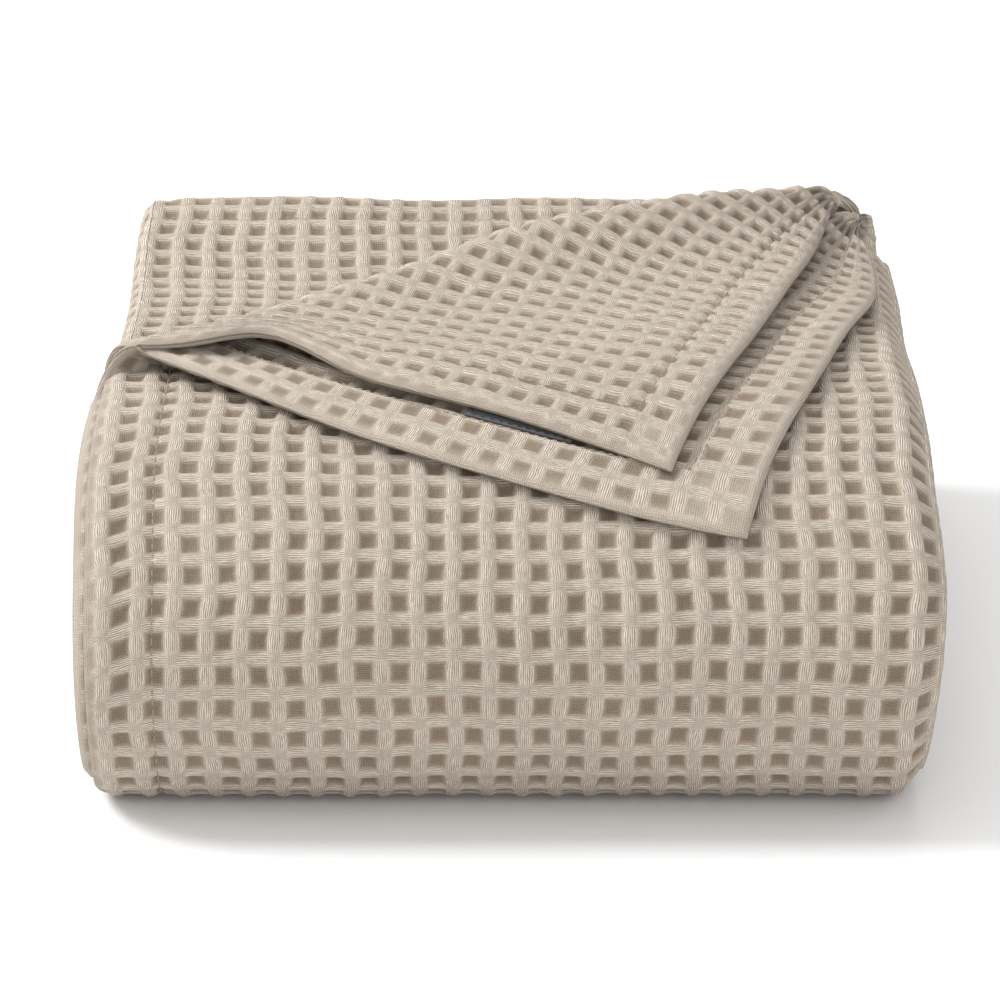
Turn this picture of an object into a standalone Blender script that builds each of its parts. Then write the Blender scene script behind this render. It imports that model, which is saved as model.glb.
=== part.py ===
"""Folded waffle-weave throw blanket: a stack of plies with one turned-back corner.

The cloth is folded in quarters across, which leaves four plies: the first and second with their
side hems on the left, and the third and fourth joined by a fold there. That strip is then folded
in half and in half again along its length, so sixteen plies lie on top of each other.
The left back corner of the first two plies is turned back over the top along a slanting crease.

Frame: origin at the middle of the resting face, +Z up, -Y towards the rounded front, +X right.
Every place in the stack is given by x and by the offset below the outer surface, in metres.
"""

import math

import bmesh
import bpy
from mathutils import Vector

# Driving dimensions
PLY = 0.0084  # height that one ply takes up in the stack
PLIES_IN_STRIP = 8
STRIP = PLIES_IN_STRIP * PLY  # the strip folded once along its length
HEIGHT = 2 * STRIP
GAP = 0.0006  # air below each ply
HALF_WIDTH = 0.161
Y_FRONT = -0.2092
Y_BACK = 0.210
OUTER_HEM_X = -0.157
SECOND_HEM_X = -HALF_WIDTH
RIGHT_FOLD_X = HALF_WIDTH - 2 * PLY  # where the two nested right-hand folds begin
LEFT_FOLD_X = -HALF_WIDTH + PLY

# Front roll: quarter ellipses above and below the foremost line
NOSE_Z = 0.052
NOSE_STEP = 0.0075  # how far back each ply's foremost line lies behind the last
UPPER_ROLL = 0.132
LOWER_ROLL = 0.048
INNERMOST_UPPER_ROLL = 0.006
INNERMOST_LOWER_ROLL = 0.004

# Back ends of the plies, outermost first, and of their returns above the middle plane
THIRD_END_Y = Y_BACK
FOURTH_END_Y = 0.206
RETURN_END_Y = (0.203, 0.208, 0.205, 0.209)

# Crease of the turned-back corner
CREASE_POINT = Vector((-0.036, 0.0175))
CREASE_ANGLE = math.radians(32.1)
CREASE_ALONG = Vector((math.cos(CREASE_ANGLE), math.sin(CREASE_ANGLE)))
CREASE_OUT = Vector((-CREASE_ALONG.y, CREASE_ALONG.x))
CREASE_CORE = 0.0015  # free radius inside the crease
CREASE_TURN_STEPS = 12
CREASE_Z = HEIGHT + CREASE_CORE
CREASE_GAP = 0.0003
CREASE_OVERRUN = 0.001  # how far the plies' top ends start behind the end of the crease
CREASE_ENDS_X = (-0.146, 0.136)
FLAP_SPLIT = 0.002  # air between the two turned-back plies, where the label lies
HEM = 0.025

# Edges of the two flaps in plan: each bows from the flap's tip, towards a middle point, to the crease
LOWER_TIP = (0.088, -0.180)
LOWER_FLAP_SIDE = (LOWER_TIP, (-0.055, -0.180), (-0.150, -0.0541))
LOWER_FLAP_END = (LOWER_TIP, (0.150, -0.020), (0.150, 0.1342))
UPPER_TIP = (0.064, -0.166)
UPPER_FLAP_SIDE = (UPPER_TIP, (0.000, -0.146), (-0.150, -0.0541))
UPPER_FLAP_END = (UPPER_TIP, (0.098, -0.020), (0.138, 0.1267))
EDGE_POINTS = 16
NARROWEST = 0.0005  # width left where a ply runs out to a point

# Thread and label
THREAD_WIDTH = 0.0014
THREAD_HEIGHT = 0.0005
THREAD_CLEARANCE = 0.0003
THREAD_LOWEST_Z = 0.012
END_SEAM_X = (LEFT_FOLD_X + 0.002, 0.088)  # the end hem's visible thread
SEAM_START = 0.004  # from the crease to the end of the side hem's thread
LABEL_CENTRE = Vector((0.002, -0.119))
LABEL_ANGLE = math.radians(-18)
LABEL_SIZE = (0.044, 0.028)
LABEL_THICKNESS = 0.0007
LABEL_MARGIN = 0.002  # from the label's lower edge to its line of stitches

# Colours: linear RGB of the cotton, its shaded inner side, the thread and the woven label
COTTON = (0.58, 0.50, 0.41)
COTTON_INSIDE = (0.52, 0.44, 0.35)
THREAD = (0.55, 0.47, 0.38)
LABEL_GREY = (0.030, 0.030, 0.036)
LABEL_THREAD = (0.012, 0.012, 0.014)


def clear_scene():
    for obj in list(bpy.data.objects):
        bpy.data.objects.remove(obj, do_unlink=True)


def cloth_material(name, colour, roughness):
    material = bpy.data.materials.new(name)
    material.use_nodes = True
    shader = material.node_tree.nodes["Principled BSDF"]
    shader.inputs["Base Color"].default_value = (*colour, 1.0)
    shader.inputs["Roughness"].default_value = roughness
    shader.inputs["Metallic"].default_value = 0.0
    material.diffuse_color = (*colour, 1.0)
    return material


def add_object(name, bm, material, origin=(0.0, 0.0, 0.0)):
    """Makes the object with its origin at the given point; the mesh stays where it was drawn."""
    bmesh.ops.recalc_face_normals(bm, faces=bm.faces)
    bmesh.ops.translate(bm, verts=bm.verts, vec=-Vector(origin))
    mesh = bpy.data.meshes.new(name)
    bm.to_mesh(mesh)
    bm.free()
    mesh.shade_smooth()
    mesh.set_sharp_from_angle(angle=math.radians(40))
    obj = bpy.data.objects.new(name, mesh)
    obj.location = origin
    obj.data.materials.append(material)
    bpy.context.scene.collection.objects.link(obj)
    return obj


def loft(rings):
    """A closed body through equal rings of points, capped at both ends."""
    bm = bmesh.new()
    made = [[bm.verts.new(point) for point in ring] for ring in rings]
    count = len(made[0])
    for ring, following in zip(made, made[1:]):
        for i in range(count):
            j = (i + 1) % count
            bm.faces.new((ring[i], ring[j], following[j], following[i]))
    bm.faces.new(made[0])
    bm.faces.new(reversed(made[-1]))
    return bm


def steps(start, end, count):
    return [start + (end - start) * i / count for i in range(count + 1)]


# The path of a ply, seen from the side


def front_roll(offset):
    """(y, z) points of the front roll at this offset below the outer surface, top to bottom."""
    share = offset / STRIP
    nose_y = Y_FRONT + NOSE_STEP * offset / PLY
    nose_z = NOSE_Z + (STRIP - NOSE_Z) * share
    upper = UPPER_ROLL + (INNERMOST_UPPER_ROLL - UPPER_ROLL) * share
    lower = LOWER_ROLL + (INNERMOST_LOWER_ROLL - LOWER_ROLL) * share
    points = []
    for angle in steps(math.pi / 2, 0, 10):
        y = nose_y + upper * (1 - math.cos(angle))
        points.append((y, nose_z + (HEIGHT - offset - nose_z) * math.sin(angle)))
    for angle in steps(0, math.pi / 2, 7)[1:]:
        y = nose_y + lower * (1 - math.cos(angle))
        points.append((y, nose_z - (nose_z - offset) * math.sin(angle)))
    return points


def back_turn(offset):
    """(y, z) points of the turn at the bottom of the back, where the strip was folded in half."""
    radius = STRIP / 2 - offset
    centre = Y_BACK - STRIP / 2
    return [(centre + radius * math.sin(a), STRIP / 2 - radius * math.cos(a)) for a in steps(0, math.pi, 9)]


def ply_path(offset, top_ys, return_end_y):
    """(y, z) points of a ply from its top end, round the front, under, round the back and into the stack."""
    inner = STRIP - offset - GAP / 2
    path = [(y, HEIGHT - offset) for y in top_ys]
    path += front_roll(offset)
    path += back_turn(offset)
    path += reversed(front_roll(inner))
    path.append((return_end_y, HEIGHT - inner))
    return path


def sweep(profile, left_shift, top_ys, return_end_y):
    """Lofts a profile of (x, offset) points along the ply path.

    left_shift(i, x) moves the x of a profile point on the i-th station of the top run.
    """
    paths = [ply_path(offset, top_ys, return_end_y) for _, offset in profile]
    rings = []
    for i in range(len(paths[0])):
        ring = []
        for (x, _), path in zip(profile, paths):
            y, z = path[i]
            ring.append((left_shift(i, x) if i < len(top_ys) else x, y, z))
        rings.append(ring)
    return loft(rings)


def crease_x(y):
    """The x of the crease line at this y."""
    return CREASE_POINT.x + (y - CREASE_POINT.y) / math.tan(CREASE_ANGLE)


def crease_y(x):
    return CREASE_POINT.y + (x - CREASE_POINT.x) * math.tan(CREASE_ANGLE)


def add_ply(name, index, left, end_y, material):
    """One ply: index 0 is the outermost. The first two begin at the crease, the others at the back end."""
    top = index * PLY
    bottom = top + PLY - GAP
    right = RIGHT_FOLD_X - CREASE_GAP
    profile = [(left, top), (right, top), (right, bottom), (left, bottom)]
    if end_y is None:
        first_y = crease_y(right) - CREASE_OVERRUN
        top_ys = steps(first_y, crease_y(left) - CREASE_GAP, 6)

        def shift(i, x):
            return max(left, crease_x(top_ys[i]) + CREASE_GAP) if x == left else x

    else:
        top_ys = steps(end_y, end_y - 0.1, 1)

        def shift(i, x):
            return x

    bm = sweep(profile, shift, top_ys, RETURN_END_Y[index])
    return add_object(name, bm, material)


def half_ring(centre_x, centre_offset, inner, outer, side, count=6):
    """A half ring in (x, offset) that opens away from the fold; side is +1 at the right, -1 at the left."""
    angles = steps(-math.pi / 2, math.pi / 2, count)
    outline = [(centre_x + side * outer * math.cos(a), centre_offset + outer * math.sin(a)) for a in angles]
    outline += [
        (centre_x + side * inner * math.cos(a), centre_offset + inner * math.sin(a)) for a in reversed(angles)
    ]
    return outline


def add_side_fold(name, centre_x, centre_ply, inner, outer, side, top_start_y, material):
    """A fold along one side of the strip, which joins two plies of it all the way along."""
    profile = half_ring(centre_x, centre_ply * PLY - GAP / 2, inner, outer, side)
    top_ys = steps(top_start_y, top_start_y - 0.05, 1)
    bm = sweep(profile, lambda i, x: x, top_ys, RETURN_END_Y[0])
    return add_object(name, bm, material)


# The turned-back corner


def outer_height(y):
    """Height of the stack's outer surface at this y, on its top and its upper roll."""
    behind_nose = y - Y_FRONT
    if behind_nose >= UPPER_ROLL:
        return HEIGHT
    across = (UPPER_ROLL - behind_nose) / UPPER_ROLL
    return NOSE_Z + (HEIGHT - NOSE_Z) * math.sqrt(1 - across * across)


def drape(x, y, lift):
    """The point this far out from the stack's outer surface, above (x, y) on it."""
    reach = 0.0005
    slope = (outer_height(y + reach) - outer_height(y - reach)) / (2 * reach)
    normal = Vector((0, -slope, 1)).normalized()
    return Vector((x, y, outer_height(y))) + normal * lift


def bowed_edge(edge):
    """Points along an edge's quadratic curve, tip first."""
    tip, middle, end = (Vector(p) for p in edge)
    shares = steps(0, 1, EDGE_POINTS)
    return [tip * (1 - t) ** 2 + middle * (2 * t * (1 - t)) + end * t**2 for t in shares]


def edge_x(points, y):
    """The x at which an edge passes this y; its points run from front to back."""
    for a, b in zip(points, points[1:]):
        if y <= b.y:
            return a.x + (b.x - a.x) * max(0.0, y - a.y) / (b.y - a.y)
    return points[-1].x


def add_flap(name, side_edge, end_edge, low, high, material):
    """A turned-back ply: it lies between its side edge or the crease on the left and its end edge."""
    side, end = bowed_edge(side_edge), bowed_edge(end_edge)
    front_y, left_y, back_y = side[0].y, side[-1].y, end[-1].y
    stations = steps(front_y + 0.001, left_y, 12) + steps(left_y, back_y - 0.001, 14)[1:]
    rings = []
    for y in stations:
        if y < left_y:
            left = edge_x(side, y)
        else:
            left = crease_x(y) + CREASE_GAP
        right = max(edge_x(end, y), left + NARROWEST)
        ring = [drape(x, y, high) for x in steps(left, right, 4)]
        ring += [drape(x, y, low) for x in steps(right, left, 4)]
        rings.append(ring)
    return add_object(name, loft(rings), material, crease_origin())


def crease_origin():
    return (CREASE_POINT.x, CREASE_POINT.y, CREASE_Z)


def add_crease(name, inner_low, outer_low, inner_high, outer_high, material):
    """The roll that joins a ply of the stack to the flap above it, with its axis along the crease."""
    turns = steps(0, math.pi, CREASE_TURN_STEPS)
    rings = []
    for x in CREASE_ENDS_X:
        base = Vector((x, crease_y(x)))
        ring = []
        for low, high, angles in ((outer_low, outer_high, turns), (inner_low, inner_high, turns[::-1])):
            for angle in angles:
                radius = low + (high - low) * angle / math.pi
                flat = base + CREASE_OUT * (radius * math.sin(angle))
                ring.append((flat.x, flat.y, CREASE_Z - radius * math.cos(angle)))
        rings.append(ring)
    return add_object(name, loft(rings), material, crease_origin())


# Thread and label


def add_stitch_line(name, points, lift, material, origin=(0.0, 0.0, 0.0)):
    """A flat line of sewing thread on the cloth through these (x, y) points."""
    line = [Vector(p) for p in points]
    rings = []
    for i, point in enumerate(line):
        ahead = line[min(i + 1, len(line) - 1)] - line[max(i - 1, 0)]
        across = Vector((-ahead.y, ahead.x)).normalized() * THREAD_WIDTH / 2
        corners = ((point - across, lift), (point + across, lift))
        low = [drape(p.x, p.y, height) for p, height in corners]
        high = [drape(p.x, p.y, height + THREAD_HEIGHT) for p, height in reversed(corners)]
        rings.append(low + high)
    return add_object(name, loft(rings), material, origin)


def add_front_stitching(material):
    """The side hem's seam, from the crease over the top and down the front, short of the underside."""
    x = OUTER_HEM_X + HEM
    inner, outer = THREAD_CLEARANCE, THREAD_CLEARANCE + THREAD_HEIGHT
    roll_low = front_roll(-inner)
    roll_high = front_roll(-outer)
    start_y = crease_y(x) - SEAM_START
    pairs = [((start_y, HEIGHT + inner), (start_y, HEIGHT + outer))]
    pairs += [(low, high) for low, high in zip(roll_low, roll_high) if low[1] > THREAD_LOWEST_Z]
    left, right = x - THREAD_WIDTH / 2, x + THREAD_WIDTH / 2
    rings = [[(left, *low), (right, *low), (right, *high), (left, *high)] for low, high in pairs]
    return add_object("side_hem_stitching", loft(rings), material)


def add_end_stitching(material):
    """The third ply's end hem seam, straight across the back of the top."""
    low = HEIGHT - 2 * PLY + THREAD_CLEARANCE
    high = low + THREAD_HEIGHT
    front = THIRD_END_Y - HEM - THREAD_WIDTH / 2
    back = front + THREAD_WIDTH
    ends = END_SEAM_X
    rings = [[(x, front, low), (x, back, low), (x, back, high), (x, front, high)] for x in ends]
    return add_object("end_hem_stitching", loft(rings), material)


def inset_line(edge, distance, start, end, count):
    """Points of an outline moved inwards by this distance, between two shares of its length."""
    line = bowed_edge(edge)
    lengths = [0.0]
    for a, b in zip(line, line[1:]):
        lengths.append(lengths[-1] + (b - a).length)
    points = []
    for share in steps(start, end, count):
        along = share * lengths[-1]
        i = max(k for k in range(len(line) - 1) if lengths[k] <= along + 1e-9)
        direction = (line[i + 1] - line[i]).normalized()
        inward = Vector((direction.y, -direction.x))
        if inward.dot(CREASE_POINT - line[i]) < 0:
            inward = -inward
        points.append(line[i] + direction * (along - lengths[i]) + inward * distance)
    return points


def add_label(lift, material, thread_material):
    """The woven label on the lower flap, and the line of stitches that holds its long edge."""
    across = Vector((math.cos(LABEL_ANGLE), math.sin(LABEL_ANGLE)))
    up = Vector((-across.y, across.x))
    width, depth = LABEL_SIZE
    rings = []
    for share in steps(-0.5, 0.5, 6):
        row = [LABEL_CENTRE + across * (width * share) + up * (depth * side) for side in (-0.5, 0, 0.5)]
        low = [drape(p.x, p.y, lift) for p in row]
        high = [drape(p.x, p.y, lift + LABEL_THICKNESS) for p in reversed(row)]
        rings.append(low + high)
    label = add_object("woven_label", loft(rings), material, crease_origin())
    edge = LABEL_CENTRE - up * (depth / 2 - LABEL_MARGIN)
    ends = [edge + across * (width * share) for share in steps(-0.45, 0.45, 4)]
    above = lift + LABEL_THICKNESS + THREAD_CLEARANCE
    add_stitch_line("label_stitching", ends, above, thread_material, crease_origin())
    return label


def build_stack(cotton, inside):
    add_ply("outer_ply", 0, OUTER_HEM_X, None, cotton)
    add_ply("second_ply", 1, SECOND_HEM_X, None, cotton)
    add_ply("third_ply", 2, LEFT_FOLD_X + CREASE_GAP, THIRD_END_Y, cotton)
    add_ply("fourth_ply", 3, LEFT_FOLD_X + CREASE_GAP, FOURTH_END_Y, inside)
    fold_start_y = crease_y(RIGHT_FOLD_X) - CREASE_OVERRUN
    half_gap = GAP / 2
    right = RIGHT_FOLD_X
    add_side_fold(
        "right_outer_fold", right, 2, PLY + half_gap, 2 * PLY - half_gap, 1, fold_start_y, cotton
    )
    add_side_fold("right_inner_fold", right, 2, half_gap, PLY - half_gap, 1, fold_start_y, inside)
    add_side_fold(
        "left_fold", LEFT_FOLD_X, 3, half_gap, PLY - half_gap, -1, FOURTH_END_Y, cotton
    )


def build_turned_corner(cotton, inside):
    """Two rolls at the crease and the two flaps; each flap begins above the axis of its roll."""
    inner_radius = CREASE_CORE + GAP / 2
    ply_radius = CREASE_CORE + PLY
    lower_low, lower_high = 2 * CREASE_CORE + GAP / 2, 2 * CREASE_CORE + PLY - GAP / 2
    upper_low, upper_high = lower_low + PLY + FLAP_SPLIT, lower_high + PLY + FLAP_SPLIT
    inner = (inner_radius, ply_radius - GAP / 2)
    outer = (ply_radius + GAP / 2, ply_radius + PLY - GAP / 2)
    add_crease("inner_crease", *inner, *inner, inside)
    add_crease("outer_crease", *outer, outer[0] + FLAP_SPLIT, outer[1] + FLAP_SPLIT, cotton)
    add_flap("lower_flap", LOWER_FLAP_SIDE, LOWER_FLAP_END, lower_low, lower_high, inside)
    add_flap("upper_flap", UPPER_FLAP_SIDE, UPPER_FLAP_END, upper_low, upper_high, cotton)
    return lower_high, upper_high


def build_trim(lower_top, upper_top, thread, label, label_thread):
    add_front_stitching(thread)
    add_end_stitching(thread)
    seams = (
        ("lower_flap_side_stitching", LOWER_FLAP_SIDE, 0.14, 0.80, lower_top),
        ("lower_flap_end_stitching", LOWER_FLAP_END, 0.12, 0.80, lower_top),
        ("upper_flap_side_stitching", UPPER_FLAP_SIDE, 0.16, 0.80, upper_top),
        ("upper_flap_end_stitching", UPPER_FLAP_END, 0.12, 0.80, upper_top),
    )
    for name, edge, start, end, top in seams:
        points = inset_line(edge, HEM, start, end, 10)
        add_stitch_line(name, points, top + THREAD_CLEARANCE, thread, crease_origin())
    add_label(lower_top + THREAD_CLEARANCE, label, label_thread)


def main():
    clear_scene()
    cotton = cloth_material("waffle_cotton", COTTON, 0.95)
    inside = cloth_material("waffle_cotton_inside", COTTON_INSIDE, 0.95)
    thread = cloth_material("sewing_thread", THREAD, 0.8)
    label = cloth_material("label_satin", LABEL_GREY, 0.6)
    label_thread = cloth_material("label_thread", LABEL_THREAD, 0.7)
    build_stack(cotton, inside)
    lower_top, upper_top = build_turned_corner(cotton, inside)
    build_trim(lower_top, upper_top, thread, label, label_thread)


main()
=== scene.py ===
"""The looks of a folded waffle-weave throw blanket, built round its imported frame.

Each ply is a closed sheet over cloth coordinates: u runs across the cloth and v along it from its back end.
The strip of four plies winds over the top, round the front, under, round the back and into the stack. The
left back corner of the first and second ply is turned back over a slanting crease.
Lengths are in metres, in the frame's axes: +Z up, -Y to the rounded front, +X to the nested right folds.
"""

import math

import bpy
import numpy as np
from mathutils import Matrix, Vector


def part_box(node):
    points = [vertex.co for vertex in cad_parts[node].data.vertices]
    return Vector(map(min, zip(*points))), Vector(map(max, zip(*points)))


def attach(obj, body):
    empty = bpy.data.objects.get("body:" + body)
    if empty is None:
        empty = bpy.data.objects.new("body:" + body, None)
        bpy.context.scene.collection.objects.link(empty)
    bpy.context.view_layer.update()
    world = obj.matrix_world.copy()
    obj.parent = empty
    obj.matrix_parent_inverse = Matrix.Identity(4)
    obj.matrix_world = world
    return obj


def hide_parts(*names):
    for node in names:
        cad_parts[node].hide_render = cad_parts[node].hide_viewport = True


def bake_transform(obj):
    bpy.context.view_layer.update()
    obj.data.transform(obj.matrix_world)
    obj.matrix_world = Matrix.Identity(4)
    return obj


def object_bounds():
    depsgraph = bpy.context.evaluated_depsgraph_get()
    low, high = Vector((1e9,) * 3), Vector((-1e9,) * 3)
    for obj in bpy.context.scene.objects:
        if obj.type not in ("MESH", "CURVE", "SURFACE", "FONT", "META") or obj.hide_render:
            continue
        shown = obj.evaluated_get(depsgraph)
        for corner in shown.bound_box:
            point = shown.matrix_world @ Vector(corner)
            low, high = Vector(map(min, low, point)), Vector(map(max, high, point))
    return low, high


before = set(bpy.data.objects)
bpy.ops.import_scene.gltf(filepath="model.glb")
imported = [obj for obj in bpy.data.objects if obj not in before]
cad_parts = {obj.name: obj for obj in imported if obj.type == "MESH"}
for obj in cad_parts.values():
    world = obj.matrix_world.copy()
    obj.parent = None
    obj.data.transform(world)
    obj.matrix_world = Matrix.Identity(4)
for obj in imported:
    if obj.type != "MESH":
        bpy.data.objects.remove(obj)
CAD_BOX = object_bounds()

# Sizes read from the frame
OUTER_LOW, OUTER_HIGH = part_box("outer_ply")
PLIES = 16
HEIGHT = OUTER_HIGH.z
PLY = HEIGHT / PLIES
STRIP = HEIGHT / 2
Y_FRONT = OUTER_LOW.y
Y_BACK = CAD_BOX[1].y
OUTER_HEM_X = OUTER_LOW.x
SECOND_HEM_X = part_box("second_ply")[0].x
RIGHT_FOLD_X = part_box("right_outer_fold")[0].x
LEFT_FOLD_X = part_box("left_fold")[1].x

# Front roll, as quarter ellipses above and below the foremost line
NOSE_Z = 0.052
NOSE_STEP = 0.0075
UPPER_ROLL = 0.132
LOWER_ROLL = 0.048
INNERMOST_UPPER_ROLL = 0.006
INNERMOST_LOWER_ROLL = 0.004
MID_GAP = 0.0006

# The cloth
CELL = 0.013
FINE = 12  # mesh steps in a waffle cell where it shows
HALF_SHEET = 0.00075  # half the thickness of the plain ground
RELIEF = 0.0016  # height of a ridge above the sheet's mean, on each side
HALF = HALF_SHEET + RELIEF
HEM = 0.025
HEM_EXTRA = 0.0030  # the turned-in layers of a hem, on the wrong side
EDGE_ROUND = 0.0050

# Depth of each ply's middle surface below the stack's outer surface, and where its ends lie
OUTER_DEPTH, SECOND_DEPTH, THIRD_DEPTH, FOURTH_DEPTH = HALF, 0.0112, 2 * PLY + HALF, 0.0285
OUTER_END_Y = 0.2225
INNER_END_Y = 0.2095  # of the third and fourth ply
RETURN_END_Y = (0.203, 0.208, 0.205, 0.209)

# The third ply's back hem stands up, and its corner beside the left fold droops outwards.
THIRD_RAISE = 0.0150
RAISE_START_Y = 0.125
RAISE_FADE = 0.25  # of the top's stretch, in front
FOURTH_RAISE_SHARE = 0.25
DROOP_LENGTH, DROOP_INWARD, DROOP_FADE = 0.014, 0.012, 0.016
DROOP_OUT, DROOP_DOWN = 0.0022, 0.0030

# Crease of the turned-back corner
CREASE_X, CREASE_Y = -0.036, 0.0175
CREASE_ANGLE = math.radians(32.1)
ALONG = np.array((math.cos(CREASE_ANGLE), math.sin(CREASE_ANGLE)))
OUT = np.array((-ALONG[1], ALONG[0]))


def smooth(t):
    t = np.clip(t, 0.0, 1.0)
    return t * t * (3 - 2 * t)


def mix(a, b, t):
    return a + (b - a) * t


# The path of the strip. Its stretches meet at whole stations: the top, the front roll above and below its
# foremost line, the underside, the turn at the back, and then the same way back inside the stack.

STRETCHES = 9
TOP_FRONT, NOSE, UNDER_FRONT, UNDER_BACK, TURN_END = 1.0, 2.0, 3.0, 4.0, 5.0
STEPS_PER_STRETCH = 400


def roll_shape(depth):
    """Foremost y of the front roll at this depth, its z, and how far back its upper and lower half reach."""
    share = depth / STRIP
    nose_y = Y_FRONT + NOSE_STEP * depth / PLY
    nose_z = mix(NOSE_Z, STRIP, share)
    upper = mix(UPPER_ROLL, INNERMOST_UPPER_ROLL, share)
    lower = mix(LOWER_ROLL, INNERMOST_LOWER_ROLL, share)
    return nose_y, nose_z, upper, lower


def path(station, depth, end_y, return_end_y):
    """(y, z) at a station of the path, at this depth below the outer surface."""
    station, depth = np.broadcast_arrays(np.asarray(station, float), np.asarray(depth, float))
    stretch = np.clip(np.floor(station), 0, STRETCHES - 1).astype(int)
    f = station - stretch
    inner = STRIP - depth - MID_GAP / 2
    nose_y, nose_z, upper, lower = roll_shape(depth)
    in_nose_y, in_nose_z, in_upper, in_lower = roll_shape(inner)
    rising, falling = np.pi / 2 * f, np.pi / 2 * (1 - f)
    turn_y, radius = Y_BACK - STRIP / 2, STRIP / 2 - depth
    ys = [
        mix(end_y, nose_y + upper, f),
        nose_y + upper * (1 - np.cos(falling)),
        nose_y + lower * (1 - np.cos(rising)),
        mix(nose_y + lower, turn_y, f),
        turn_y + radius * np.sin(np.pi * f),
        mix(turn_y, in_nose_y + in_lower, f),
        in_nose_y + in_lower * (1 - np.cos(falling)),
        in_nose_y + in_upper * (1 - np.cos(rising)),
        mix(in_nose_y + in_upper, return_end_y, f),
    ]
    zs = [
        HEIGHT - depth,
        nose_z + (HEIGHT - depth - nose_z) * np.sin(falling),
        nose_z - (nose_z - depth) * np.sin(rising),
        depth,
        STRIP / 2 - radius * np.cos(np.pi * f),
        mix(STRIP - depth, inner, f),
        in_nose_z - (in_nose_z - inner) * np.sin(falling),
        in_nose_z + (HEIGHT - inner - in_nose_z) * np.sin(rising),
        HEIGHT - inner,
    ]
    return np.choose(stretch, ys), np.choose(stretch, zs)


class Track:
    """Turns a distance along a ply's middle surface into a station of the path."""

    def __init__(self, depth, end_y, return_end_y):
        self.end_y, self.return_end_y = end_y, return_end_y
        self.stations = np.linspace(0, STRETCHES, STRETCHES * STEPS_PER_STRETCH + 1)
        y, z = path(self.stations, depth, end_y, return_end_y)
        self.lengths = np.concatenate(([0.0], np.cumsum(np.hypot(np.diff(y), np.diff(z)))))
        self.total = self.lengths[-1]

    def station(self, v):
        return np.interp(v, self.lengths, self.stations)

    def length(self, station):
        return np.interp(station, self.stations, self.lengths)

    def place(self, v, depth):
        return path(self.station(v), depth, self.end_y, self.return_end_y)


# How far the stack bulges at its sides: in at the floor, out at mid height, in again at the top
BULGE_FLOOR, BULGE_MIDDLE, BULGE_TOP = -0.0020, 0.0055, -0.0015
BULGE_MIDDLE_Z, BULGE_TOP_Z, BULGE_TOP_SPAN = 0.095, 0.11, 0.04
BULGE_LEFT_SHARE = 0.35
# Heights of the slow waves that move the surface along each axis, and of the ripples on them
WAVE_X, WAVE_Y, WAVE_Z = 0.0010, 0.0014, 0.0012
RIPPLE_Y, RIPPLE_Z = 0.0006, 0.0006


def settle(points):
    """A gentle unevenness of the whole stack, which leaves the resting face flat.

    In the waves, what multiplies a coordinate is in radians a metre and what is added is a phase.
    """
    x, y, z = points[..., 0], points[..., 1], points[..., 2]
    height = z / HEIGHT
    side = x / RIGHT_FOLD_X
    bulge = BULGE_FLOOR + BULGE_MIDDLE * smooth(z / BULGE_MIDDLE_Z)
    bulge = bulge + BULGE_TOP * smooth((z - BULGE_TOP_Z) / BULGE_TOP_SPAN)
    out = points.copy()
    out[..., 0] += bulge * side * np.abs(side) * np.where(x < 0, BULGE_LEFT_SHARE, 1.0)
    out[..., 0] += WAVE_X * np.sin(31 * z + 23 * y + 0.8) * np.sin(19 * y + 1.1)
    out[..., 1] += WAVE_Y * np.sin(21 * x + 0.5) * np.sin(9 * z + 0.3)
    out[..., 1] += RIPPLE_Y * np.sin(57 * x + 2.0) * height
    out[..., 2] += WAVE_Z * height * np.sin(24 * x + 1.3) * np.sin(17 * y + 0.4)
    out[..., 2] += RIPPLE_Z * height * np.sin(61 * x + 33 * y)
    return out


# The plies


class Ply:
    """A ply from left_x to the right fold, round which it meets the ply that lies at fold_depth."""

    def __init__(self, left_x, depth, end_y, return_end_y, fold_depth=None, raise_end=0.0):
        self.left_x, self.depth, self.end_y = left_x, depth, end_y
        self.flat_width = RIGHT_FOLD_X - left_x
        self.fold_radius = 0.0 if fold_depth is None else (fold_depth - depth) / 2
        self.width = self.flat_width + math.pi * self.fold_radius
        self.track = Track(depth, end_y, return_end_y)
        self.raise_end = raise_end

    def section(self, u):
        """(x, depth) across the strip."""
        turn = np.clip((u - self.flat_width) / max(self.fold_radius, 1e-6), 0, math.pi)
        x = self.left_x + np.minimum(u, self.flat_width) + self.fold_radius * np.sin(turn)
        return x, self.depth + self.fold_radius * (1 - np.cos(turn))

    def stacked(self, u, v):
        """Places in the stack, before settling."""
        x, depth = self.section(u)
        y, z = self.track.place(v, depth)
        if self.raise_end:
            droop = smooth((DROOP_LENGTH - v) / DROOP_LENGTH)
            droop = droop * smooth((LEFT_FOLD_X + DROOP_INWARD - x) / DROOP_FADE)
            x, z = x + DROOP_OUT * droop, z - DROOP_DOWN * droop
            on_top = smooth((TOP_FRONT - self.track.station(v)) / RAISE_FADE)
            raised = smooth((y - RAISE_START_Y) / (Y_BACK - RAISE_START_Y))
            z = z + self.raise_end * on_top * raised * self.raise_share(u)
        return np.stack(np.broadcast_arrays(x, y, z), axis=-1)

    def raise_share(self, u):
        return 1.0

    def place(self, u, v):
        return settle(self.stacked(u, v))


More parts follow.
